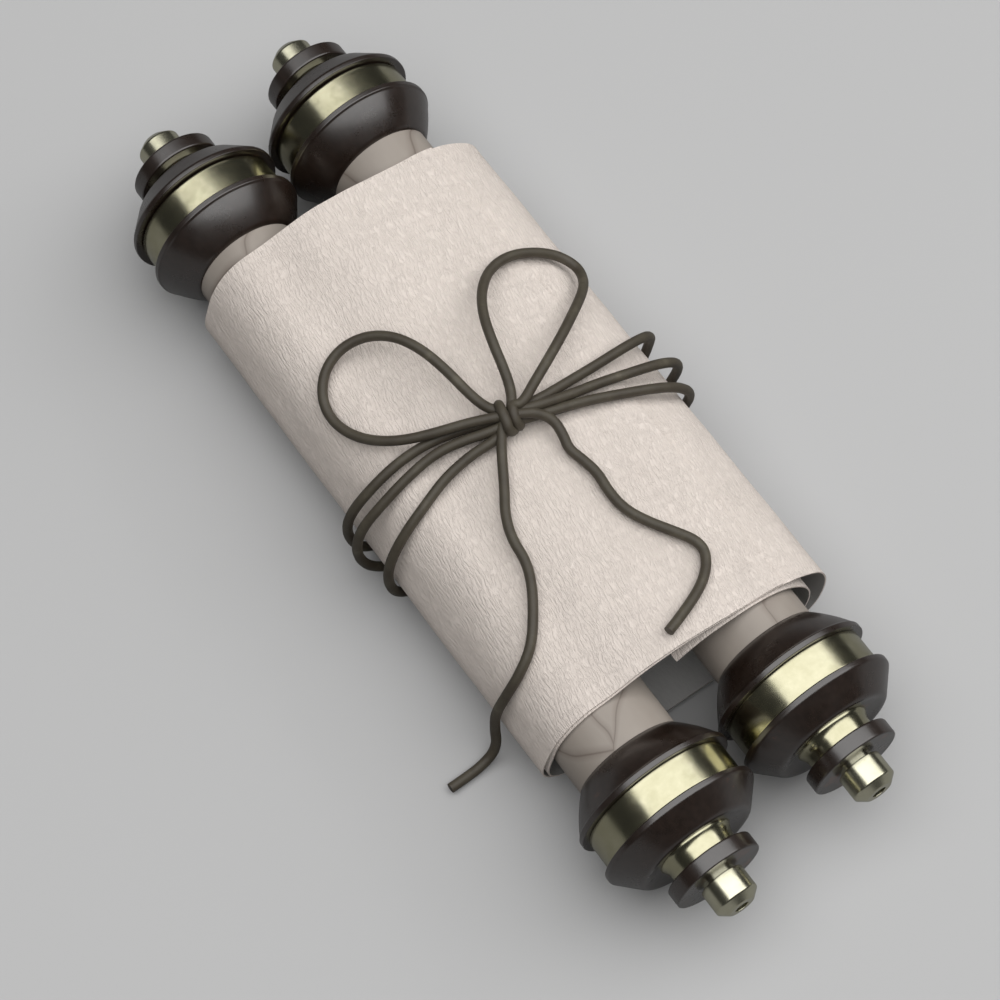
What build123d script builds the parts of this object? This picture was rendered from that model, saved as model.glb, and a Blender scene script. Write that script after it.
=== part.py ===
"""A tied paper scroll: one loose roll of handmade paper on two turned rollers with banded finials.

The rollers lie side by side along Y on the rims of their finials, 0 is the floor, and the near end of the
photograph is at -Y. Millimetres. The cord's points are chosen by eye along its route in the photograph.
"""
import os
from math import cos, pi, radians, sin, tan

from build123d import *

# Rollers: the finials' rims stand on the floor and leave a narrow gap between the two rollers.
rim_diameter = 42.4
rim_gap = 1.3
rod_diameter = 28.0
rod_length = 165.0
rollers_offset = 4.1

# Finial, from the rod outwards. Lengths are along the roller, diameters are the turned ones.
bell_seat_diameter = 28.4
inner_flare_length = 8.7
rim_width = 1.8
rim_edge_round = 0.45
band_groove_length = 8.9
band_diameter = 38.9
band_wall = 2.4
band_slack = 0.35
outer_slope_length = 4.8
outer_shoulder_diameter = 30.8
outer_shoulder_round = 1.4
outer_face_hollow = 1.2
collar_diameter = 20.0
collar_neck_diameter = 17.8
collar_end_diameter = 17.2
collar_lip_width = 0.3
collar_flare_length = 3.0
collar_length = 5.2
disc_diameter = 23.6
disc_thickness = 4.2
disc_edge_round = 0.5
tip_neck_diameter = 9.0
tip_neck_length = 0.9
tip_diameter = 11.6
tip_barrel_length = 6.1
tip_chamfer_length = 1.9
tip_end_diameter = 7.0
tip_hole_diameter = 3.7
tip_hole_depth = 3.5
stud_diameter = 5.0
stud_clearance = 0.1
stud_depth_in_rod = 18.0
stud_depth_in_tip = 4.0

# Paper: one sheet, wound from its inner end, which droops between the rods, to its outer end on the top right.
paper_width = 148.0
paper_thickness = 0.4
paper_centre = 0.5
paper_on_rod = 0.5
layer_gap = 0.2

# Each curl is a list of places round a rod's axis: degrees above the level, and millimetres that the sheet
# stands away from where it would lie if it hugged the rod.
inner_curl = [(75, 0.2), (50, 0.6), (30, 1.3), (10, 2.7), (-12, 4.3), (-33, 5.2), (-55, 3.9), (-78, 2.3)]
outer_curl = [(75, 0.4), (50, 1.9), (30, 4.2), (10, 7.2), (-12, 9.4), (-33, 9.7), (-55, 5.9), (-78, 2.8)]
inner_rise = [(258, 2.0), (238, 2.8), (220, 3.2), (205, 2.7), (192, 1.5), (178, 0.3)]
outer_rise = [(258, 2.6), (238, 3.8), (220, 4.1), (205, 3.4), (192, 2.0), (178, 0.6)]
left_top = [(160, 0.0), (135, 0.0), (110, 0.0), (88, 0.0)]
outer_end = [(88, 0.2), (72, 0.5), (58, 1.2)]
# Between the rods the top layers bulge: share of the way to a rod's axis, and rise above the rods' tops.
top_bulge = [(-0.62, 1.9), (-0.2, 3.1), (0.25, 2.5), (0.7, 1.1)]
# The inner end: share of the way to the right rod's axis, and height against the top of the rods.
inner_end = [(-0.04, -4.1), (0.14, -2.1), (0.32, -0.7), (0.58, 0.2), (0.83, 0.5)]

# Cord: one length of waxed cord in three turns, a knot on top, two bow loops and two tails. It passes under the
# paper, so the paper lies this much above the floor.
cord_diameter = 3.0
under_paper = cord_diameter + 0.2
knot_size = (11.0, 10.5, 5.4)
knot_place = (-1.4, -3.2, 43.9)
knot_turn = -30
knot_round = 2.2

# The cord's route, chosen by eye: the middle of each stretch, from the knot's inside and back or to a free end.
cord_routes = {
    "turn_1": [
        (2, -1.8, 42.9), (8, -2.2, 41.8), (16, -2, 40.9), (26, -1.6, 39.6), (35.5, -0.8, 37.9),
        (42.4, 0.4, 34.2), (45.8, 1.8, 28.5), (46.9, 3.4, 21.5), (46.8, 4.4, 14), (44.9, 4.6, 7.4),
        (39.6, 4.2, 2.8), (31, 3.8, 1.6), (16, 4.4, 1.6), (-14, 3.2, 1.6), (-29, 3.6, 1.7),
        (-36.7, 3.2, 3), (-41.4, 3.4, 7.4), (-43.8, 4.2, 14), (-44.2, 4.5, 21), (-42.6, 4.1, 28),
        (-38, 3.7, 34.2), (-31, 4.2, 37.9), (-23.3, 4.2, 39.7), (-16, 2.8, 41.2), (-9.6, 0.8, 41.9),
        (-3.4, -1.8, 42.9),
    ],
    "turn_2": [
        (3, -3.5, 44.3), (8.4, -4.6, 43.4), (15, -5.4, 41.6), (23, -6, 39.8), (32.6, -7.5, 37.9),
        (40.8, -8.2, 34.9), (46.2, -8.1, 29.8), (48.3, -7.1, 23), (48.3, -5.8, 16), (46.6, -4.8, 9),
        (41.5, -4.6, 3.5), (33, -5, 1.6), (17, -5.6, 1.6), (-13, -4.6, 1.6), (-29, -4.2, 1.6),
        (-37, -3.5, 2.9), (-42.2, -2.6, 7.5), (-44.9, -1.8, 14), (-45.2, -1.2, 21), (-43.2, -1, 27.8),
        (-38, -1, 33.4), (-29.5, -0.1, 37.9), (-21, 0.6, 40.1), (-14.1, -1, 41.9), (-8, -3.2, 43.1),
        (-3, -4.2, 43.8),
    ],
    "turn_3": [
        (3.4, -5.3, 42.5), (9.8, -6.9, 41.8), (17.5, -8.5, 40.6), (26.3, -11.3, 39.1),
        (34.9, -13.8, 36.8), (40.8, -15.1, 33.2), (44.8, -15.3, 27.5), (46.8, -14.3, 20.5),
        (47, -12.8, 13.5), (44.7, -12.4, 7), (39.3, -12.8, 2.6), (30.5, -13.2, 1.6), (14, -13.8, 1.6),
        (-14, -12.6, 1.6), (-29, -12, 1.7), (-36.5, -12.3, 3.5), (-41.2, -12.5, 8.7),
        (-43.1, -12.2, 15.2), (-42.9, -11.6, 22), (-40.5, -11, 28.4), (-36, -10, 33.9),
        (-30, -8.6, 37.6), (-22.2, -6, 39.6), (-14, -5.2, 41.4), (-8.5, -5.8, 42.7), (-3, -5.5, 43.4),
    ],
    "loop_left": [
        (-3.2, -0.2, 44.6), (-5, 3, 44.5), (-6.1, 8, 44.9), (-7.3, 15.6, 46.2), (-9.2, 23.6, 46.7),
        (-12.3, 30.6, 45.6), (-17.2, 35.6, 43.1), (-23.5, 37.4, 40.4), (-29.6, 35.4, 38),
        (-33.6, 30.6, 35.9), (-34.8, 24.5, 35), (-33.4, 17.8, 36.3), (-30, 12, 38.6), (-25, 7.3, 41.2),
        (-18.4, 3.8, 43.4), (-11, 1, 44.8), (-4.5, -1.7, 45.2),
    ],
    "loop_right": [
        (0.4, -1.6, 44.6), (3, 2.4, 44.8), (4.7, 8, 45.6), (6.2, 15, 47), (8.8, 22.6, 46.4),
        (13, 29.4, 44.2), (19, 34.5, 41.6), (26, 36, 39.6), (32.8, 34.6, 36.7), (38.2, 32, 33.6),
        (41, 27.6, 32), (40, 22.8, 33.3), (36.2, 18.2, 37), (29.8, 13.2, 41.2), (22.8, 8.4, 44),
        (15.4, 4.2, 45), (8.6, 0.8, 44.8), (3, -2.3, 45),
    ],
    "tail_right": [
        (1, -4.3, 45.2), (5, -5.8, 45), (8.3, -9.1, 43.3), (8.5, -13.8, 41.5), (7.5, -19, 41),
        (8.5, -25, 40.9), (9, -32, 40.9), (9.3, -38.4, 40.8), (12.2, -44.7, 40.2), (16.6, -50.6, 39.6),
        (17.9, -56.8, 39.4), (13.6, -62.6, 40), (5.6, -66.9, 41.5), (-2.6, -69.7, 42.2),
    ],
    "tail_left": [
        (-4, -3.8, 44.2), (-7.2, -8, 43.4), (-9.8, -12.8, 42.4), (-12.6, -18.2, 41.5),
        (-15.6, -24.4, 40.8), (-17.6, -31.6, 40.1), (-19.8, -39.4, 39.4), (-24.4, -47, 38.8),
        (-29.8, -52.8, 37.6), (-35.3, -56, 34.2), (-40, -56.9, 28), (-42.6, -56.6, 20.5),
        (-43.1, -57.3, 13), (-43.2, -58.5, 7), (-45, -59.3, 3.2), (-49.2, -59.8, 1.6),
        (-53.6, -60.1, 1.6), (-58, -60.2, 1.6),
    ],
}


rim_radius = rim_diameter / 2
rod_radius = rod_diameter / 2
half_spacing = rim_radius + rim_gap / 2
layer_pitch = paper_thickness + layer_gap
hug_radius = rod_radius + paper_on_rod + paper_thickness / 2
stud_radius = stud_diameter / 2
stud_hole_radius = stud_radius + stud_clearance

# Stations along a roller, from its middle outwards.
bell_start = rod_length / 2
inner_rim_start = bell_start + inner_flare_length
inner_rim_end = inner_rim_start + rim_width
outer_rim_start = inner_rim_end + band_groove_length
outer_rim_end = outer_rim_start + rim_width
shoulder_end = outer_rim_end + outer_slope_length + outer_face_hollow
collar_start = shoulder_end - outer_face_hollow
disc_start = collar_start + collar_length
disc_end = disc_start + disc_thickness
tip_start = disc_end + tip_neck_length
tip_chamfer_start = tip_start + tip_barrel_length
tip_end = tip_chamfer_start + tip_chamfer_length
stud_end = disc_end + stud_depth_in_tip


def turned(outline):
    """Revolve an outline drawn as (radius, place along the roller) about the roller's own axis."""
    return revolve(make_face(outline), Axis.Y, 360)


def bored(piece, start, end, radius):
    """Cut a round hole along the roller's axis, from one station to the next."""
    hole = Cylinder(radius, end - start, rotation=(90, 0, 0))
    return piece - Pos(0, (start + end) / 2, 0) * hole


def rod():
    bar = Cylinder(rod_radius, rod_length, rotation=(90, 0, 0))
    for side in (-1, 1):
        ends = sorted((side * (bell_start - stud_depth_in_rod), side * bell_start))
        bar = bored(bar, ends[0], ends[1], stud_hole_radius)
    return bar


def inner_bell():
    """Dark flare from the rod to the inner rim, with half of the spigot that carries the band."""
    spigot_radius = band_diameter / 2 - band_wall - stud_clearance
    spigot_end = (inner_rim_end + outer_rim_start) / 2
    seat = (bell_seat_diameter / 2, bell_start)
    rim_foot = (rim_radius - rim_edge_round, inner_rim_start)
    flare = ThreePointArc(
        seat, ((seat[0] + rim_foot[0]) / 2 + 0.25, (seat[1] + rim_foot[1]) / 2 - 0.25), rim_foot)
    edge = Polyline(
        rim_foot,
        (rim_radius, inner_rim_start + rim_edge_round),
        (rim_radius, inner_rim_end),
        (spigot_radius, inner_rim_end),
        (spigot_radius, spigot_end),
        (stud_hole_radius, spigot_end),
        (stud_hole_radius, bell_start),
        seat,
    )
    return turned(flare + edge)


def band():
    """Brass ring on the two spigots. It seats on the inner rim and stops just short of the outer one."""
    outer = band_diameter / 2
    inner = outer - band_wall
    length = band_groove_length - band_slack
    ring = Cylinder(outer, length, rotation=(90, 0, 0)) - Cylinder(inner, length, rotation=(90, 0, 0))
    return Pos(0, inner_rim_end + length / 2, 0) * ring


def outer_bell():
    """Dark second rim, sloping to a rounded shoulder, with a slightly hollow end round the collar."""
    spigot_radius = band_diameter / 2 - band_wall - stud_clearance
    spigot_start = (inner_rim_end + outer_rim_start) / 2
    shoulder = outer_shoulder_diameter / 2
    outline = Polyline(
        (stud_hole_radius, spigot_start),
        (spigot_radius, spigot_start),
        (spigot_radius, outer_rim_start),
        (rim_radius, outer_rim_start),
        (rim_radius, outer_rim_end - rim_edge_round),
        (rim_radius - rim_edge_round, outer_rim_end),
        (shoulder, shoulder_end),
        (collar_diameter / 2, collar_start),
        (stud_hole_radius, collar_start),
        close=True,
    )
    face = make_face(outline)
    corner = face.vertices().sort_by(Axis.Y)[-1]
    return revolve(fillet(corner, outer_shoulder_round), Axis.Y, 360)


def collar():
    """Brass spacer: a lip against the bell, a hollow flare and a slightly tapered neck up to the disc."""
    lip_edge = (collar_diameter / 2, collar_start + collar_lip_width)
    neck = (collar_neck_diameter / 2, lip_edge[1] + collar_flare_length)
    outline = Polyline(
        neck,
        (collar_end_diameter / 2, disc_start),
        (stud_hole_radius, disc_start),
        (stud_hole_radius, collar_start),
        (collar_diameter / 2, collar_start),
        lip_edge,
    )
    outline += TangentArc(neck, lip_edge, tangent=(0, -1))
    return turned(outline)


def disc():
    body = Cylinder(disc_diameter / 2, disc_thickness, rotation=(90, 0, 0))
    body = fillet(body.edges().filter_by(GeomType.CIRCLE), disc_edge_round)
    body = Pos(0, (disc_start + disc_end) / 2, 0) * body
    return bored(body, disc_start, disc_end, stud_hole_radius)


def tip():
    """Brass end nut: a short neck, a barrel, a chamfer and a small hole in the end face."""
    outline = Polyline(
        (0, disc_end),
        (tip_neck_diameter / 2, disc_end),
        (tip_neck_diameter / 2, tip_start),
        (tip_diameter / 2, tip_start),
        (tip_diameter / 2, tip_chamfer_start),
        (tip_end_diameter / 2, tip_end),
        (0, tip_end),
        close=True,
    )
    nut = bored(turned(outline), disc_end, stud_end, stud_hole_radius)
    return bored(nut, tip_end - tip_hole_depth, tip_end, tip_hole_diameter / 2)


def stud():
    start = bell_start - stud_depth_in_rod
    length = stud_end - start
    return Pos(0, start + length / 2, 0) * Cylinder(stud_radius, length, rotation=(90, 0, 0))


def round_rod(side, places, layer):
    """Points of the sheet's middle round one rod: side -1 is the left rod, layer 0 lies on the wood."""
    reach = hug_radius + layer * layer_pitch
    return [
        (
            side * half_spacing + (reach + away) * cos(radians(degrees)),
            rim_radius + (reach + away) * sin(radians(degrees)),
        )
        for degrees, away in places
    ]


def over_the_top(layer):
    """Points between the rods, where the sheet climbs from one layer on the left to the next on the right."""
    start = rim_radius + hug_radius + layer * layer_pitch
    return [
        (share * half_spacing, start + rise + layer_pitch * (share + 1) / 2)
        for share, rise in top_bulge
    ]


def sheet_middle():
    """The sheet's middle line in section, from the drooping inner end to the outer end, clockwise."""
    rod_top = rim_radius + hug_radius
    low = under_paper + paper_thickness / 2
    points = [(share * half_spacing, rod_top + height) for share, height in inner_end]
    points += round_rod(1, inner_curl, 0)
    points += [(half_spacing * share, low + layer_pitch) for share in (0.5, -0.5)]
    points += round_rod(-1, inner_rise, 0)
    points += round_rod(-1, left_top, 0)
    points += over_the_top(0)
    points += round_rod(1, outer_curl, 1)
    points += [(half_spacing * share, low) for share in (0.5, -0.5)]
    points += round_rod(-1, outer_rise, 1)
    points += round_rod(-1, left_top, 1)
    points += over_the_top(1)
    points += round_rod(1, outer_end, 2)
    return points


def paper_roll():
    middle = Spline(*[Vector(x, z) for x, z in sheet_middle()])
    steps = 2 * len(sheet_middle())
    sides = []
    for side in (1, -1):
        row = []
        for step in range(steps + 1):
            along = middle.tangent_at(step / steps)
            square = Vector(-along.Y, along.X) * side * paper_thickness / 2
            row.append(middle.position_at(step / steps) + square)
        sides.append(row)
    outer, inner = sides
    section = make_face([
        Spline(*outer),
        Line(outer[-1], inner[-1]),
        Spline(*inner),
        Line(inner[0], outer[0]),
    ])
    sheet = extrude(section, paper_width / 2, both=True)
    # The section was drawn flat: stand it up, so that its second direction is height.
    return Pos(0, paper_centre, 0) * (Rot(90, 0, 0) * sheet)


def cord_knot():
    """Outer shape of the tied bow's knot, lying on the paper."""
    body = Box(*knot_size)
    body = fillet(body.edges(), knot_round)
    return Pos(*knot_place) * Rot(0, 0, knot_turn) * body


def cord_tube(name, points, knot):
    """A round cord along straight runs joined by the largest arcs that they allow, up to the knot's side."""
    places = [Vector(*point) for point in points]
    runs = [b - a for a, b in zip(places, places[1:])]
    radii = [
        0.45 * min(before.length, after.length) / tan(radians(before.get_angle(after) / 2))
        for before, after in zip(runs, runs[1:])
    ]
    path = FilletPolyline(*places, radius=radii)
    tube = sweep(Plane(origin=path @ 0, z_dir=path % 0) * Circle(cord_diameter / 2), path)
    expected = pi * (cord_diameter / 2) ** 2 * path.length
    print(f"{name}: length {path.length:.1f}, volume {tube.volume:.1f} of {expected:.1f}")
    print("   arc radii", " ".join(f"{radius:.1f}" for radius in radii))
    return tube - knot


def finial():
    """One finial's pieces by name, in place on the rear end of a roller."""
    return {
        "inner_bell": inner_bell(),
        "band": band(),
        "outer_bell": outer_bell(),
        "collar": collar(),
        "disc": disc(),
        "tip": tip(),
        "stud": stud(),
    }


paper = paper_roll()
# The origin is under the middle of the rollers and the paper, which reaches out further on the right.
frame_shift = (half_spacing + rim_radius - paper.bounding_box().max.X) / 2
pieces = {"paper_roll": Pos(frame_shift, 0, 0) * paper}

for side_name, side in (("left", -1), ("right", 1)):
    place = Pos(frame_shift + side * half_spacing, side * rollers_offset / 2, rim_radius)
    pieces[f"roller_{side_name}_rod"] = place * rod()
    for end_name, spin in (("front", 180), ("rear", 0)):
        for piece_name, piece in finial().items():
            pieces[f"{side_name}_{end_name}_{piece_name}"] = place * Rot(0, 0, spin) * piece

knot = cord_knot()
pieces["cord_knot"] = knot
for name, points in cord_routes.items():
    pieces[f"cord_{name}"] = cord_tube(name, points, knot)

os.makedirs("parts", exist_ok=True)
for name, piece in pieces.items():
    export_step(piece, f"parts/{name}.step")

whole = Compound([piece for name, piece in pieces.items() if not name.startswith("cord")]).bounding_box()
print("without the cord:", whole.min, whole.max)
print("roller axes at x", frame_shift - half_spacing, "and", frame_shift + half_spacing)
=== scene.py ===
"""A tied paper scroll on two turned rollers, dressed for a studio photograph.

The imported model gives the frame: metres, Y along the rollers with the near end at -Y, Z up, the floor at 0.
"""

import bmesh
import bpy
import numpy as np
from mathutils import Matrix, Vector


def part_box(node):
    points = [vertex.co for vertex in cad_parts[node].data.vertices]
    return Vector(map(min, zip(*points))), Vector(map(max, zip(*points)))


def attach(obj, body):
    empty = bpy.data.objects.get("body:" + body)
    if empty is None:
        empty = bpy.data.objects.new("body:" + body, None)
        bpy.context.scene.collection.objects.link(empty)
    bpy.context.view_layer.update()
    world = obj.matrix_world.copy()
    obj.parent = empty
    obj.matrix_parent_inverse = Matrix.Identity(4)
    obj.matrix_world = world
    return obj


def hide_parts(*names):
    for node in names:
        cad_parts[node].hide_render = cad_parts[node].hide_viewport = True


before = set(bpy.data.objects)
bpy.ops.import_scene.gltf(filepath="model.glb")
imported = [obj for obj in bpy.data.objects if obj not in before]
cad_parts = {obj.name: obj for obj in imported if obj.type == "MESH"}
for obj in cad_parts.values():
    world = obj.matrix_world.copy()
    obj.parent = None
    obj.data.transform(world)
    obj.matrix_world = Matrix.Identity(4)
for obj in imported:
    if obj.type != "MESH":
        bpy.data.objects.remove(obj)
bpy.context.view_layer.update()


# Camera: a long lens from above the near left corner, matched to the photograph's outline.
camera_place = Vector((-0.21513, -0.28216, 0.71722))
camera_forward = Vector((0.26570711, 0.34983226, -0.89834132))
camera_up = Vector((0.51037, 0.73950, 0.43893))
camera_data = bpy.data.cameras.new("photo_camera")
camera_data.lens = 113.39
camera_data.sensor_width = 36
camera = bpy.data.objects.new("photo_camera", camera_data)
camera_right = camera_forward.cross(camera_up)
camera.matrix_world = Matrix.Translation(camera_place) @ Matrix(
    (camera_right, camera_up, -camera_forward)).transposed().to_4x4()
bpy.context.scene.collection.objects.link(camera)
bpy.context.scene.camera = camera


# Cord: one length of waxed cord, tied in a bow. From the left tail's free end it runs through the knot and the
# right loop, binds the knot, goes three times round the roll, binds the knot again and runs through the left
# loop to the right tail. Places are millimetres in the model's frame.
tail_left = [
    (-4, -3.8, 44.2), (-6.5, -7, 43.6), (-9.4, -11.6, 42.7), (-12.7, -17.2, 41.9),
    (-16.6, -23, 41.3), (-18.7, -29, 40.7), (-19, -34.9, 40.2), (-21.1, -40.4, 39.8), (-25, -46.6, 39.2),
    (-29.8, -52.8, 37.6), (-35.3, -56, 34.2), (-40, -56.9, 28), (-42.6, -56.6, 20.5),
    (-43.1, -57.3, 13), (-43.2, -58.5, 7), (-45, -59.3, 3.2), (-49.2, -59.8, 1.6), (-53.6, -60.1, 1.6),
    (-58, -60.2, 1.6)]
through_to_right_loop = [(-1.6, -3, 44.8)]
loop_right = [
    (0.4, -1.6, 44.6), (3, 2.4, 44.8), (4.7, 8, 45.6), (6.2, 15, 47), (8.8, 22.6, 46.4),
    (13, 29.4, 44.2), (19, 34.5, 41.6), (26, 36, 39.6), (32.8, 34.6, 36.7), (38.2, 32, 33.6),
    (41, 27.6, 32), (40, 22.8, 33.3), (36.2, 18.2, 37), (29.8, 13.2, 41.2), (22.8, 8.4, 44),
    (15.4, 4.2, 45), (8.6, 0.8, 44.8), (3, -2.3, 45)]
first_wrap = [
    (0.4, -1.4, 45.7), (-0.4, -3.2, 46.1), (-1, -5, 45.4), (-0.9, -6.3, 43.9), (0, -5.8, 42.5),
    (1, -3.6, 42.2)]
turn_1 = [
    (2, -1.8, 42.9), (8, -2.2, 41.8), (16, -2, 40.9), (26, -1.6, 39.6), (35.5, -0.8, 37.9),
    (42.4, 0.4, 34.2), (45.8, 1.8, 28.5), (46.9, 3.4, 21.5), (46.8, 4.4, 14), (44.9, 4.6, 7.4),
    (39.6, 4.2, 2.8), (31, 3.8, 1.6), (16, 4.4, 1.6), (-14, 3.2, 1.6), (-29, 3.6, 1.7),
    (-36.7, 3.2, 3), (-41.4, 3.4, 7.4), (-43.8, 4.2, 14), (-44.2, 4.5, 21), (-42.6, 4.1, 28),
    (-38, 3.7, 34.2), (-31, 4.2, 37.9), (-23.3, 4.2, 39.7), (-16, 2.8, 41.2), (-9.6, 0.8, 41.9),
    (-3.4, -1.8, 42.9)]
turn_2 = [
    (3, -3.5, 44.3), (8.4, -4.6, 43.4), (15, -5.4, 41.6), (23, -6, 39.8), (32.6, -7.5, 37.9),
    (40.8, -8.2, 34.9), (46.2, -8.1, 29.8), (48.3, -7.1, 23), (48.3, -5.8, 16), (46.6, -4.8, 9),
    (41.5, -4.6, 3.5), (33, -5, 1.6), (17, -5.6, 1.6), (-13, -4.6, 1.6), (-29, -4.2, 1.6),
    (-37, -3.5, 2.9), (-42.2, -2.6, 7.5), (-44.9, -1.8, 14), (-45.2, -1.2, 21), (-43.2, -1, 27.8),
    (-38, -1, 33.4), (-29.5, -0.1, 37.9), (-21, 0.6, 40.1), (-14.1, -1, 41.9), (-8, -3.2, 43.1),
    (-3, -4.2, 43.8)]
turn_3 = [
    (3.4, -5.3, 42.5), (9.8, -6.9, 41.8), (17.5, -8.5, 40.6), (26.3, -11.3, 39.1), (34.9, -13.8, 36.8),
    (40.8, -15.1, 33.2), (44.8, -15.3, 27.5), (46.8, -14.3, 20.5), (47, -12.8, 13.5), (44.7, -12.4, 7),
    (39.3, -12.8, 2.6), (30.5, -13.2, 1.6), (14, -13.8, 1.6), (-14, -12.6, 1.6), (-29, -12, 1.7),
    (-36.5, -12.3, 3.5), (-41.2, -12.5, 8.7), (-43.1, -12.2, 15.2), (-42.9, -11.6, 22),
    (-40.5, -11, 28.4), (-36, -10, 33.9), (-30, -8.6, 37.6), (-22.2, -6, 39.6), (-14, -5.2, 41.4),
    (-8.5, -5.8, 42.7), (-3, -5.5, 43.4)]
second_wrap = [
    (-1.4, -5.8, 42.7), (-3.1, -6.6, 43.6), (-3.7, -6.1, 45.2), (-3.3, -4.4, 46.4), (-2.7, -1.8, 46.5),
    (-2.1, 0.2, 45.7), (-1.7, 1, 44.4), (-2.1, 0.4, 43.3)]
loop_left = [
    (-3.2, -0.2, 44.6), (-5, 3, 44.5), (-6.1, 8, 44.9), (-7.3, 15.6, 46.2), (-9.2, 23.6, 46.7),
    (-12.3, 30.6, 45.6), (-17.2, 35.6, 43.1), (-23.5, 37.4, 40.4), (-29.6, 35.4, 38),
    (-33.6, 30.6, 35.9), (-34.8, 24.5, 35), (-33.4, 17.8, 36.3), (-30, 12, 38.6), (-25, 7.3, 41.2),
    (-18.4, 3.8, 43.4), (-11, 1, 44.8), (-4.5, -1.7, 45.2)]
through_to_right_tail = [(-2, -3, 45.2)]
tail_right = [
    (1, -4.3, 45.2), (4.5, -5.9, 44.6), (7.4, -9.2, 43), (7.3, -13.4, 41.8), (6.3, -17, 41.3),
    (7.4, -21, 41.1), (8.4, -26, 41), (7.6, -32, 40.9), (8.1, -37.8, 40.8), (10.7, -43.3, 40.6),
    (14.6, -49, 40.2), (17.6, -53.6, 39.8), (17.7, -57.6, 39.6), (13.6, -62.6, 40), (5.6, -66.9, 41.5),
    (-2.6, -69.7, 42.2)]
cord_diameter = 0.0026
cord_route = (
    tail_left[::-1] + through_to_right_loop + loop_right + first_wrap + turn_1 + turn_2 + turn_3
    + second_wrap + loop_left + through_to_right_tail + tail_right)
cord_curve = bpy.data.curves.new("cord", "CURVE")
cord_curve.dimensions = "3D"
# The tube's radius is given at the points, because the curve's own bounds are worked out from it there.
cord_curve.bevel_depth = 1
cord_curve.bevel_resolution = 5
cord_curve.resolution_u = 8
cord_curve.use_fill_caps = True
spline = cord_curve.splines.new("NURBS")
spline.points.add(len(cord_route) - 1)
for point, (x, y, z) in zip(spline.points, cord_route):
    point.co = (x / 1000, y / 1000, z / 1000, 1)
    point.radius = cord_diameter / 2
spline.order_u = 3
spline.use_endpoint_u = True
cord = bpy.data.objects.new("cord", cord_curve)
bpy.context.scene.collection.objects.link(cord)
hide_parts(*[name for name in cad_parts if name.startswith("cord_")])
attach(cord, "roll")


def linear(code):
    """A colour written as #RRGGBB, as the linear values that the shader's sockets take."""
    shares = [int(code[i:i + 2], 16) / 255 for i in (1, 3, 5)]
    return [s / 12.92 if s <= 0.04045 else ((s + 0.055) / 1.055) ** 2.4 for s in shares] + [1]


def add(tree, kind, inputs=None, **settings):
    """A node of that kind with its settings. An input is a plain value, or another node's output to link."""
    node = tree.nodes.new(kind)
    for name, value in settings.items():
        setattr(node, name, value)
    for name, value in (inputs or {}).items():
        if isinstance(value, bpy.types.NodeSocket):
            tree.links.new(value, node.inputs[name])
        else:
            node.inputs[name].default_value = value
    return node


def material(name):
    """An empty node material, its tree and its surface shader."""
    made = bpy.data.materials.new(name)
    made.use_nodes = True
    return made, made.node_tree, made.node_tree.nodes["Principled BSDF"]


def ramp(tree, source, stops):
    """A colour ramp that reads source; stops are (place, colour)."""
    node = add(tree, "ShaderNodeValToRGB", {"Fac": source})
    while len(node.color_ramp.elements) < len(stops):
        node.color_ramp.elements.new(0.5)
    for element, (place, colour) in zip(node.color_ramp.elements, stops):
        element.position = place
        element.color = colour
    return node.outputs["Color"]


def grey(value):
    return (value, value, value, 1)


def wear(piece, look):
    """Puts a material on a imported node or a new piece."""
    piece.data.materials.clear()
    piece.data.materials.append(look)


# Waxed leather cord, dark olive brown, with rubbed lighter patches and a fine crackle.
cord_look, tree, shader = material("waxed_cord")
place = add(tree, "ShaderNodeTexCoord").outputs["Object"]
patches = add(tree, "ShaderNodeTexNoise", {"Vector": place, "Scale": 180, "Detail": 4, "Roughness": 0.6})
fine = add(tree, "ShaderNodeTexNoise", {"Vector": place, "Scale": 1400, "Detail": 3, "Roughness": 0.7})
tone = ramp(tree, patches.outputs["Fac"], [
    (0.3, linear("#40392F")), (0.6, linear("#4B4539")), (0.75, linear("#5C5648"))])
tree.links.new(tone, shader.inputs["Base Color"])
bump = add(tree, "ShaderNodeBump", {"Height": fine.outputs["Fac"], "Strength": 0.35, "Distance": 0.0002})
tree.links.new(bump.outputs["Normal"], shader.inputs["Normal"])
shader.inputs["Roughness"].default_value = 0.55
wear(cord, cord_look)


def smooth_line(points, count):
    """Natural cubic spline through the points, read at places an even length apart.

    The bends at the points solve the usual three-term equations, with none at the two ends.
    """
    points = np.array(points)
    gaps = np.linalg.norm(np.diff(points, axis=0), axis=1)
    knots = np.concatenate([[0], np.cumsum(gaps)])
    inner = np.arange(1, len(points) - 1)
    matrix = np.eye(len(points))
    matrix[inner, inner - 1] = gaps[:-1]
    matrix[inner, inner] = 2 * (gaps[:-1] + gaps[1:])
    matrix[inner, inner + 1] = gaps[1:]
    slopes = np.zeros_like(points)
    slopes[1:-1] = 6 * np.diff(np.diff(points, axis=0) / gaps[:, None], axis=0)
    bends = np.linalg.solve(matrix, slopes)

    def read(at):
        span = np.clip(np.searchsorted(knots, at, side="right") - 1, 0, len(gaps) - 1)
        gap = gaps[span][:, None]
        left = (knots[span + 1] - at)[:, None] / gap
        right = 1 - left
        curve = (left ** 3 - left) * bends[span] + (right ** 3 - right) * bends[span + 1]
        return left * points[span] + right * points[span + 1] + curve * gap ** 2 / 6

    fine_at = np.linspace(0, knots[-1], 20 * len(points))
    lengths = np.concatenate([[0], np.cumsum(np.linalg.norm(np.diff(read(fine_at), axis=0), axis=1))])
    return read(np.interp(np.linspace(0, lengths[-1], count), lengths, fine_at))


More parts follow.
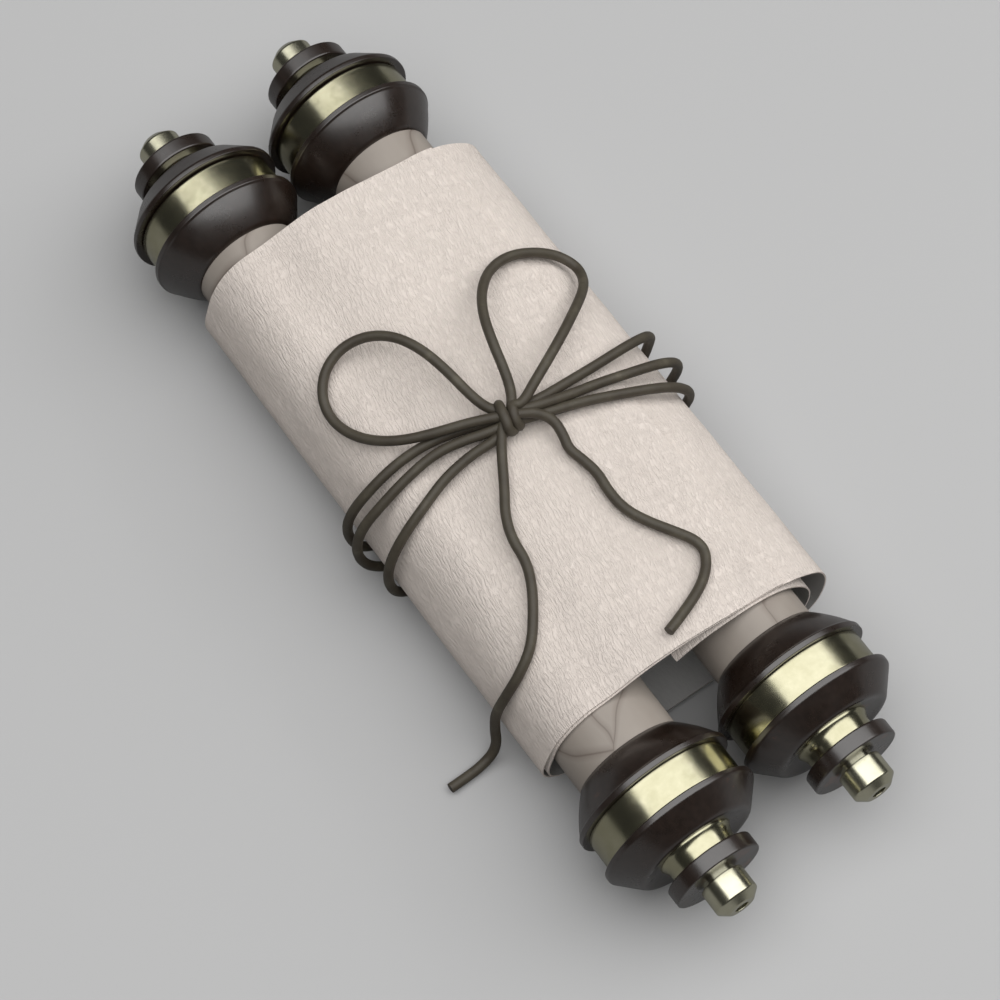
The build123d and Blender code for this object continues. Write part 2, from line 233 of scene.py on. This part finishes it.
def mesh_object(name, places, faces, uv=None):
    """A smooth-shaded mesh object from arrays of places and of four-cornered faces."""
    mesh = bpy.data.meshes.new(name)
    mesh.from_pydata(places.tolist(), [], faces.tolist())
    mesh.polygons.foreach_set("use_smooth", [True] * len(mesh.polygons))
    mesh.set_sharp_from_angle(angle=np.radians(50))
    if uv is not None:
        corners = np.empty(len(mesh.loops), dtype=int)
        mesh.loops.foreach_get("vertex_index", corners)
        mesh.uv_layers.new(name="sheet").data.foreach_set("uv", uv[corners].ravel())
    piece = bpy.data.objects.new(name, mesh)
    bpy.context.scene.collection.objects.link(piece)
    return piece


# Paper: one sheet of handmade paper, 148 mm wide, wound from the end that droops between the rods to the end on
# the top right. Each list gives places round a rod: degrees above the level, and how far the sheet stands away
# from hugging the wood, in millimetres.
left_low, left_high = (np.array(corner) * 1000 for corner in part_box("roller_left_rod"))
right_low, right_high = (np.array(corner) * 1000 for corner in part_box("roller_right_rod"))
rod_axes = {-1: (left_low[0] + left_high[0]) / 2, 1: (right_low[0] + right_high[0]) / 2}
axis_height = (left_low[2] + left_high[2]) / 2
middle_x = (rod_axes[-1] + rod_axes[1]) / 2
half_spacing = (rod_axes[1] - rod_axes[-1]) / 2
paper_thickness = 0.4
layer_pitch = paper_thickness + 0.2
hug_radius = (left_high[2] - left_low[2]) / 2 + 0.5 + paper_thickness / 2
under_paper = 3.2
inner_curl = [(75, 0.2), (50, 0.6), (30, 1.3), (10, 2.7), (-12, 4.3), (-33, 5.2), (-55, 3.9), (-78, 2.3)]
outer_curl = [(75, 0.4), (50, 1.9), (30, 4.2), (10, 7.2), (-12, 9.4), (-33, 9.7), (-55, 5.9), (-78, 2.8)]
inner_rise = [(258, 2.0), (238, 2.8), (220, 3.2), (205, 2.7), (192, 1.5), (178, 0.3)]
outer_rise = [(258, 2.6), (238, 3.8), (220, 4.1), (205, 3.4), (192, 2.0), (178, 0.6)]
left_top = [(160, 0.0), (135, 0.0), (110, 0.0), (88, 0.0)]
outer_end = [(88, 0.2), (72, 0.5), (58, 1.2)]
top_bulge = [(-0.62, 1.9), (-0.2, 3.1), (0.25, 2.5), (0.7, 1.1)]
inner_end = [(-0.04, -4.1), (0.14, -2.1), (0.32, -0.7), (0.58, 0.2), (0.83, 0.5)]
# The sheet's edges: how far they lie from where the solid's do, at shares of the sheet's length.
sheet_ends = [corner[1] * 1000 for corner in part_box("paper_roll")]
edge_shift = [
    (0, -0.3), (0.12, -0.5), (0.2, -0.9), (0.28, -1.1), (0.38, -0.5), (0.47, 0.1), (0.56, 0.3), (0.66, -0.5),
    (0.76, -0.1), (1, 0.3)]
# The low waves left in the sheet, in millimetres. They fade out towards the inner end.
wave_count = 46
shortest_wave, longest_wave = 9, 34
wave_slant = 0.45
wave_height = 0.03
calm_share = 0.02


def round_rod(side, places, layer):
    """The sheet's middle round one rod, -1 left and 1 right, with so many layers under it."""
    angle, away = np.radians([p[0] for p in places]), np.array([p[1] for p in places])
    reach = hug_radius + layer * layer_pitch + away
    return np.stack([rod_axes[side] + reach * np.cos(angle), axis_height + reach * np.sin(angle)], axis=1)


def between(places, height):
    """Places between the rods, as shares of the half spacing from the middle, at those heights."""
    return np.stack([middle_x + half_spacing * np.array(places), np.array(height)], axis=1)


def over_the_top(layer):
    share, rise = np.array(top_bulge).T
    start = axis_height + hug_radius + layer * layer_pitch
    return between(share, start + rise + layer_pitch * (share + 1) / 2)


end_share, end_rise = np.array(inner_end).T
low = under_paper + paper_thickness / 2
section = np.concatenate([
    between(end_share, axis_height + hug_radius + end_rise),
    round_rod(1, inner_curl, 0), between([0.5, -0.5], [low + layer_pitch] * 2),
    round_rod(-1, inner_rise, 0), round_rod(-1, left_top, 0), over_the_top(0),
    round_rod(1, outer_curl, 1), between([0.5, -0.5], [low, low]),
    round_rod(-1, outer_rise, 1), round_rod(-1, left_top, 1), over_the_top(1), round_rod(1, outer_end, 2)])


def paper_surface(along, across):
    """The sheet as a closed surface: its outer side, its end edge, its inner side and the drooping edge.

    A place is the section's line at the length s, half a thickness out along the line's square, with the low
    waves added there, and the place y across. The waves are a sum of sines in s and y with fixed random phases.
    Each layer's edges lie where the winding left them, so y shifts a little with s.
    """
    line = smooth_line(section, along)
    way = np.gradient(line, axis=0)
    way /= np.linalg.norm(way, axis=1)[:, None]
    square = np.stack([-way[:, 1], way[:, 0]], axis=1)
    length = np.concatenate([[0], np.cumsum(np.linalg.norm(np.diff(line, axis=0), axis=1))])
    share = length / length[-1]
    shift = np.interp(share, *np.array(edge_shift).T)
    y = np.linspace(sheet_ends[0], sheet_ends[1], across)[None, :] + shift[:, None]
    random = np.random.default_rng(7)
    waves = np.zeros((along, across))
    for wave in range(wave_count):
        size = random.uniform(shortest_wave, longest_wave)
        slope = random.normal(0, wave_slant)
        phase = random.uniform(0, 2 * np.pi)
        waves += size / longest_wave * np.sin(2 * np.pi * (length[:, None] + slope * y) / size + phase)
    waves *= wave_height * np.clip(share / calm_share, 0, 1)[:, None]
    sides = []
    for side in (1, -1):
        away = side * paper_thickness / 2 + waves
        x = line[:, :1] + square[:, :1] * away
        z = line[:, 1:] + square[:, 1:] * away
        sides.append(np.stack([x, y, z], axis=2))
    places = np.concatenate([sides[0], sides[1][::-1]]) / 1000
    uv = np.stack([np.broadcast_to(length[:, None], y.shape), y], axis=2) / 1000
    uv = np.concatenate([uv, uv[::-1]]).reshape(-1, 2)
    index = np.arange(places.shape[0] * across).reshape(-1, across)
    ahead = np.roll(index, -1, axis=0)
    skin = np.stack([index[:, :-1], ahead[:, :-1], ahead[:, 1:], index[:, 1:]], axis=2)
    other = index[::-1]
    near, far = (
        np.stack([
            other[:along - 1, column], other[1:along, column],
            index[1:along, column], index[:along - 1, column]], axis=1)
        for column in (0, -1))
    inner_side = np.zeros(skin.shape[:2], dtype=int)
    inner_side[along:-1] = 1
    sides = np.concatenate([inner_side.ravel(), np.zeros(len(near) + len(far), dtype=int)])
    return places.reshape(-1, 3), np.concatenate([skin.reshape(-1, 4), near, far[:, ::-1]]), uv, sides


paper_places, paper_faces, paper_uv, paper_sides = paper_surface(340, 100)
paper = mesh_object("paper", paper_places, paper_faces, paper_uv)
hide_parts("paper_roll")
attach(paper, "roll")


def handmade_paper(name, low_tone, high_tone, hollow_painted_shade, relief):
    """Matt handmade paper in short wavy crepe ridges that run nearly along the roll, with painted shade in the
    hollows.
    """
    look, tree, shader = material(name)
    place = add(tree, "ShaderNodeUVMap", uv_map="sheet").outputs["UV"]
    drift = add(tree, "ShaderNodeTexNoise", {"Vector": place, "Scale": 90, "Detail": 1, "Roughness": 0.5})
    bent = add(
        tree, "ShaderNodeVectorMath", {0: drift.outputs["Color"], 1: (0.0022, 0.001, 0)}, operation="MULTIPLY")
    warped = add(tree, "ShaderNodeVectorMath", {0: place, 1: bent.outputs[0]}, operation="ADD")
    turned = add(tree, "ShaderNodeMapping", {"Vector": warped.outputs[0], "Rotation": (0, 0, 0.15)})
    long_place = add(tree, "ShaderNodeMapping", {"Vector": turned.outputs[0], "Scale": (1800, 300, 1)})
    ridges = add(tree, "ShaderNodeTexNoise", {
        "Vector": long_place.outputs[0], "Scale": 1, "Detail": 3, "Roughness": 0.6})
    crests = ramp(tree, ridges.outputs["Fac"], [
        (0.3, grey(0)), (0.48, grey(0.45)), (0.56, grey(1)), (0.72, grey(0.7))])
    grain = add(tree, "ShaderNodeTexNoise", {"Vector": place, "Scale": 3000, "Detail": 2, "Roughness": 0.6})
    tone = add(tree, "ShaderNodeTexNoise", {"Vector": place, "Scale": 35, "Detail": 3, "Roughness": 0.5})
    tint = ramp(tree, tone.outputs["Fac"], [(0.3, linear(low_tone)), (0.7, linear(high_tone))])
    # The hollows between the ridges take the darker tone: painted shade in the crinkles.
    shaded = add(tree, "ShaderNodeMix", {"Factor": crests, "A": linear(hollow_painted_shade), "B": tint}, data_type="RGBA")
    tree.links.new(shaded.outputs["Result"], shader.inputs["Base Color"])
    fine_bump = add(tree, "ShaderNodeBump", {
        "Height": grain.outputs["Fac"], "Strength": 0.3, "Distance": 0.0002})
    bump = add(tree, "ShaderNodeBump", {
        "Height": crests, "Strength": relief, "Distance": 0.0003, "Normal": fine_bump.outputs["Normal"]})
    tree.links.new(bump.outputs["Normal"], shader.inputs["Normal"])
    shader.inputs["Roughness"].default_value = 0.85
    return look


# The sheet's outer side is warm beige. Its inner side, seen in the curls, is a cooler grey darkened as painted
# shade.
wear(paper, handmade_paper("paper_outer_side", "#E6DBD2", "#EEE3DA", "#DFD4CB", 0.85))
paper.data.materials.append(handmade_paper("paper_inner_side_painted_shade", "#A3A2A0", "#ABAAA8", "#A1A09E", 0.15))
paper.data.polygons.foreach_set("material_index", paper_sides)


# Rods: pale pinkish beige dowels, sanded smooth, with faint cloudy figure and a few long, gently bent seams.
pale_look, tree, shader = material("pale_dowel")
place = add(tree, "ShaderNodeTexCoord").outputs["Object"]
cloud_place = add(tree, "ShaderNodeMapping", {"Vector": place, "Scale": (90, 35, 90)}).outputs[0]
cloud = add(tree, "ShaderNodeTexNoise", {"Vector": cloud_place, "Scale": 1, "Detail": 3, "Roughness": 0.5})
sway = add(tree, "ShaderNodeTexNoise", {"Vector": place, "Scale": 55, "Detail": 1, "Roughness": 0.4})
bend = add(
    tree, "ShaderNodeVectorMath", {0: sway.outputs["Color"], 1: (0.012, 0.012, 0.012)}, operation="MULTIPLY")
bent = add(tree, "ShaderNodeVectorMath", {0: place, 1: bend.outputs[0]}, operation="ADD")
seam_place = add(tree, "ShaderNodeMapping", {"Vector": bent.outputs[0], "Scale": (44, 34, 44)}).outputs[0]
seams = add(tree, "ShaderNodeTexVoronoi", {"Vector": seam_place, "Scale": 1}, feature="DISTANCE_TO_EDGE")
seam = ramp(tree, seams.outputs["Distance"], [(0.0, grey(0.75)), (0.01, grey(0.3)), (0.05, grey(0))])
wood = ramp(tree, cloud.outputs["Fac"], [(0.3, linear("#948B82")), (0.7, linear("#A29990"))])
body = add(tree, "ShaderNodeMix", {"Factor": seam, "A": wood, "B": linear("#675A51")}, data_type="RGBA")
tree.links.new(body.outputs["Result"], shader.inputs["Base Color"])
bump = add(tree, "ShaderNodeBump", {"Height": seam, "Strength": 0.3, "Distance": 0.0001}, invert=True)
tree.links.new(bump.outputs["Normal"], shader.inputs["Normal"])
shader.inputs["Roughness"].default_value = 0.5
for side in ("left", "right"):
    wear(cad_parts[f"roller_{side}_rod"], pale_look)


# Bells and discs: very dark stained wood under a satin varnish. It is rubbed reddish brown in small spots, and
# more reddish spots are added towards the collar. The second coordinate of the map is the distance from the
# roller's axis.
dark_look, tree, shader = material("dark_turned_wood")
place = add(tree, "ShaderNodeTexCoord").outputs["Object"]
grain_place = add(tree, "ShaderNodeMapping", {"Vector": place, "Scale": (700, 120, 700)}).outputs[0]
grain = add(tree, "ShaderNodeTexNoise", {"Vector": grain_place, "Scale": 1, "Detail": 4, "Roughness": 0.6})
spots = add(tree, "ShaderNodeTexNoise", {"Vector": place, "Scale": 95, "Detail": 5, "Roughness": 0.65})
turned_map = add(tree, "ShaderNodeUVMap", uv_map="sheet").outputs["UV"]
distance = add(tree, "ShaderNodeSeparateXYZ", {"Vector": turned_map})
# The reddish spots grow denser towards the collar, over the disc and the bell's end.
near_collar = add(
    tree, "ShaderNodeMapRange", {"Value": distance.outputs["Y"], 1: 0.0098, 2: 0.0125, 3: 0.16, 4: 0})
spot_amount = add(tree, "ShaderNodeMath", {0: spots.outputs["Fac"], 1: near_collar.outputs[0]}, operation="ADD")
reddish_spots = ramp(tree, spot_amount.outputs[0], [(0.68, grey(0)), (0.78, grey(1))])
wood = ramp(tree, grain.outputs["Fac"], [(0.3, linear("#1E150F")), (0.7, linear("#2A1F19"))])
body = add(tree, "ShaderNodeMix", {"Factor": reddish_spots, "A": wood, "B": linear("#5E3A2A")}, data_type="RGBA")
tree.links.new(body.outputs["Result"], shader.inputs["Base Color"])
gloss = ramp(tree, spots.outputs["Fac"], [(0.3, grey(0.24)), (0.7, grey(0.36))])
tree.links.new(gloss, shader.inputs["Roughness"])
bump = add(tree, "ShaderNodeBump", {"Height": grain.outputs["Fac"], "Strength": 0.06, "Distance": 0.0001})
tree.links.new(bump.outputs["Normal"], shader.inputs["Normal"])
shader.inputs["Specular IOR Level"].default_value = 1.0
shader.inputs["Coat Weight"].default_value = 0.5
shader.inputs["Coat Roughness"].default_value = 0.2


def brass(name, low_tone, high_tone, low_gloss, high_gloss):
    """Pale greenish brass, spun smooth, with faint smudges and soft dents that break its reflections a little."""
    look, tree, shader = material(name)
    place = add(tree, "ShaderNodeTexCoord").outputs["Object"]
    dents = add(tree, "ShaderNodeTexNoise", {"Vector": place, "Scale": 170, "Detail": 2, "Roughness": 0.5})
    smudge = add(tree, "ShaderNodeTexNoise", {"Vector": place, "Scale": 260, "Detail": 3, "Roughness": 0.5})
    colour = ramp(tree, smudge.outputs["Fac"], [(0.3, linear(low_tone)), (0.7, linear(high_tone))])
    tree.links.new(colour, shader.inputs["Base Color"])
    gloss = ramp(tree, smudge.outputs["Fac"], [(0.3, grey(low_gloss)), (0.7, grey(high_gloss))])
    tree.links.new(gloss, shader.inputs["Roughness"])
    bump = add(tree, "ShaderNodeBump", {"Height": dents.outputs["Fac"], "Strength": 0.1, "Distance": 0.0003})
    tree.links.new(bump.outputs["Normal"], shader.inputs["Normal"])
    shader.inputs["Metallic"].default_value = 1
    return look


# The bands and collars are satin. The end nuts are a paler brass, a painted highlight, so they show the soft box
# almost white.
satin_brass = brass("satin_brass", "#B4B093", "#BFBBA0", 0.24, 0.17)
painted_highlight_brass = brass("painted_highlight_brass", "#CFCCB3", "#D8D5BD", 0.27, 0.2)


# Studs: plain bright steel, hidden inside the stacks.
steel_look, tree, shader = material("bright_steel")
place = add(tree, "ShaderNodeTexCoord").outputs["Object"]
turning = add(tree, "ShaderNodeTexNoise", {"Vector": place, "Scale": 900, "Detail": 2})
gloss = ramp(tree, turning.outputs["Fac"], [(0.3, grey(0.25)), (0.7, grey(0.4))])
tree.links.new(gloss, shader.inputs["Roughness"])
shader.inputs["Base Color"].default_value = linear("#B0B0B2")
shader.inputs["Metallic"].default_value = 1


def rounded(corners):
    """The outline through the corners, each of them a radius, a place along the roller and the round's size.

    A round is a quadratic curve between two places that lie its size away from the corner on both sides. One
    more place beyond each of these keeps the flats flat.
    """
    spots = np.array([corner[:2] for corner in corners], dtype=float)
    sides = [np.roll(spots, 1, axis=0) - spots, np.roll(spots, -1, axis=0) - spots]
    back, ahead = (side / np.linalg.norm(side, axis=1)[:, None] for side in sides)
    share = np.linspace(0, 1, 6)[:, None]
    lines = []
    for spot, before, after, size in zip(spots, back, ahead, [corner[2] for corner in corners]):
        if not size:
            lines.append(spot[None])
            continue
        start, end = spot + before * size, spot + after * size
        curve = (1 - share) ** 2 * start + 2 * share * (1 - share) * spot + share ** 2 * end
        lines.append(np.concatenate([[start + before * size / 4], curve, [end + after * size / 4]]))
    return np.concatenate(lines)


def bowed(start, end, rise):
    """Corners along a shallow curve: the straight line from start to end, plus rise times 4 t (1 - t) squarely."""
    start, end = np.array(start), np.array(end)
    share = np.linspace(0, 1, 9)[:, None]
    way = (end - start) / np.linalg.norm(end - start)
    line = start + (end - start) * share + 4 * share * (1 - share) * rise * np.array([way[1], -way[0]])
    return [(radius, place, 0) for radius, place in line]


def turned_surface(outline, axis, height, rod_end, end, turns):
    """An outline turned about a roller's axis.

    A place of the outline at the radius r and the length s past the rod's end goes, at the angle t, to
    x = axis + r cos t, z = height + r sin t and y = rod's end + s outwards.
    """
    angle = np.linspace(0, 2 * np.pi, turns, endpoint=False)[None, :]
    radius, along = outline[:, :1], outline[:, 1:]
    x = axis + radius * np.cos(angle)
    z = height + radius * np.sin(angle)
    y = rod_end + end * along + 0 * angle
    uv = np.stack([angle / (2 * np.pi) + 0 * radius, radius / 1000 + 0 * angle], axis=2).reshape(-1, 2)
    index = np.arange(x.size).reshape(x.shape)
    ahead = np.roll(index, -1, axis=0)
    faces = np.stack([index, ahead, np.roll(ahead, -1, axis=1), np.roll(index, -1, axis=1)], axis=2)
    return np.stack([x, y, z], axis=2).reshape(-1, 3) / 1000, faces.reshape(-1, 4)[:, ::end], uv


# Finials: each piece is turned as its solid is, with finer facets and with the edges softly broken by wear.
# Radii and places along the roller are millimetres, and the places count from the rod's end. The outlines run
# outwards along the outer side and back along the bore.
stud_hole = 2.6
spigot, spigots_meet = 16.95, 14.95
rim, rim_edge = 21.2, 0.45
inner_rim, inner_rim_end = 8.7, 10.5
outer_rim, outer_rim_end = 19.4, 21.2
band_outside, band_inside, band_end = 19.45, 17.05, 19.05
shoulder, shoulder_end = 15.4, 27.2
seat, flare_bow = 14.2, 0.35
lip = 10
neck, neck_start, neck_foot = 8.9, 29.3, 8.6
disc_radius = 11.8
nut_neck, nut_radius, nut_face = 4.5, 5.8, 3.5
bell_end, collar_end, disc_end, nut_start, chamfer, nut_end = 26, 31.2, 35.4, 36.3, 42.4, 44.3
flute_radius, flute_turn = 4.64, 0.703
pin_hole, pin_hole_bottom, stud_bottom = 1.85, 40.8, 39.4
flute = [
    (neck + flute_radius * (1 - np.cos(turn)), neck_start - flute_radius * np.sin(turn), 0)
    for turn in np.linspace(flute_turn, 0, 7)]
outlines = {
    "inner_bell": bowed((seat, 0), (rim - rim_edge, inner_rim), flare_bow)[:-1] + [
        (rim - rim_edge, inner_rim, 0.15), (rim, inner_rim + rim_edge, 0.15), (rim, inner_rim_end, 0.2),
        (spigot, inner_rim_end, 0), (spigot, spigots_meet, 0), (stud_hole, spigots_meet, 0), (stud_hole, 0, 0)],
    "band": [
        (band_outside, inner_rim_end, 0.3), (band_outside, band_end, 0.3), (band_inside, band_end, 0),
        (band_inside, inner_rim_end, 0)],
    "outer_bell": [
        (stud_hole, spigots_meet, 0), (spigot, spigots_meet, 0), (spigot, outer_rim, 0), (rim, outer_rim, 0.2),
        (rim, outer_rim_end - rim_edge, 0.45), (shoulder, shoulder_end, 1.3), (lip, bell_end, 0),
        (stud_hole, bell_end, 0)],
    "collar": [(lip, bell_end, 0)] + flute + [
        (neck_foot, collar_end, 0), (stud_hole, collar_end, 0), (stud_hole, bell_end, 0)],
    "disc": [
        (disc_radius, collar_end, 0.5), (disc_radius, disc_end, 0.5), (stud_hole, disc_end, 0),
        (stud_hole, collar_end, 0)],
    "tip": [
        (stud_hole, disc_end, 0), (nut_neck, disc_end, 0), (nut_neck, nut_start, 0),
        (nut_radius, nut_start, 0.25), (nut_radius, chamfer, 0.35), (nut_face, nut_end, 0.25),
        (pin_hole, nut_end, 0.15), (pin_hole, pin_hole_bottom, 0), (0, pin_hole_bottom, 0), (0, stud_bottom, 0),
        (stud_hole, stud_bottom, 0)]}
looks = {
    "inner_bell": dark_look, "outer_bell": dark_look, "disc": dark_look,
    "band": satin_brass, "collar": satin_brass, "tip": painted_highlight_brass}
for side_name, side in (("left", -1), ("right", 1)):
    rod_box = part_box(f"roller_{side_name}_rod")
    for end_name, end in (("front", -1), ("rear", 1)):
        rod_end = rod_box[(end + 1) // 2][1] * 1000
        for piece_name, corners in outlines.items():
            node = f"{side_name}_{end_name}_{piece_name}"
            places, faces, uv = turned_surface(
                rounded(corners), rod_axes[side], axis_height, rod_end, end, turns=128)
            piece = mesh_object(f"turned_{node}", places, faces, uv)
            shape = bmesh.new()
            shape.from_mesh(piece.data)
            bmesh.ops.remove_doubles(shape, verts=shape.verts, dist=1e-7)
            shape.to_mesh(piece.data)
            shape.free()
            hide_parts(node)
            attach(piece, f"roller_{side_name}")
            wear(piece, looks[piece_name])
        wear(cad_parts[f"{side_name}_{end_name}_stud"], steel_look)


# Floor: a seamless pale grey studio sheet. It is pale to the camera and mid grey in the finials' reflections, as
# the photograph's floor is.
floor_half = 4.0
floor = mesh_object(
    "floor",
    np.array([(x * floor_half, y * floor_half, 0) for x, y in ((-1, -1), (1, -1), (1, 1), (-1, 1))]),
    np.array([(0, 1, 2, 3)]))
floor_look, tree, shader = material("pale_studio_sheet")
path = add(tree, "ShaderNodeLightPath")
tone = add(tree, "ShaderNodeMix", {
    "Factor": path.outputs["Is Camera Ray"], "A": linear("#808080"), "B": linear("#BABABA")}, data_type="RGBA")
tree.links.new(tone.outputs["Result"], shader.inputs["Base Color"])
shader.inputs["Roughness"].default_value = 0.8
wear(floor, floor_look)


# Light: one large soft box overhead, a little to the right, in a dim room that shows dark in the brass. Behind the
# floor's edge the camera sees a pale backdrop, which adds no light to the object.
world = bpy.data.worlds.new("studio")
bpy.context.scene.world = world
world.use_nodes = True
tree = world.node_tree
path = add(tree, "ShaderNodeLightPath")
room = add(tree, "ShaderNodeMix", {
    "Factor": path.outputs["Is Glossy Ray"], "A": grey(0.06), "B": grey(0.035)}, data_type="RGBA")
backdrop = add(tree, "ShaderNodeMix", {
    "Factor": path.outputs["Is Camera Ray"], "A": room.outputs["Result"], "B": linear("#BEBEBE")},
    data_type="RGBA")
tree.links.new(backdrop.outputs["Result"], tree.nodes["Background"].inputs["Color"])
soft_box_data = bpy.data.lights.new("soft_box", "AREA")
soft_box_data.shape = "RECTANGLE"
soft_box_data.size = 5.93
soft_box_data.size_y = 3.48
soft_box_data.energy = 122
soft_box = bpy.data.objects.new("soft_box", soft_box_data)
soft_box.location = (0.83, -0.43, 2.4)
soft_box.rotation_euler = (0, 0, np.radians(-8.7))
bpy.context.scene.collection.objects.link(soft_box)

# A weaker, lower fill from the right. It shades the paper's left shoulder and stays out of the brass.
fill_data = bpy.data.lights.new("side_fill", "AREA")
fill_data.shape = "RECTANGLE"
fill_data.size = 3.0
fill_data.size_y = 1.2
fill_data.energy = 17
fill = bpy.data.objects.new("side_fill", fill_data)
fill.matrix_world = Matrix.Translation((2.55, -0.45, 1.3)) @ Vector(
    (-2.55, 0.45, -1.3)).to_track_quat("-Z", "Y").to_matrix().to_4x4()
fill.visible_glossy = False
bpy.context.scene.collection.objects.link(fill)
bpy.context.scene.view_settings.view_transform = "Standard"

bpy.context.view_layer.update()
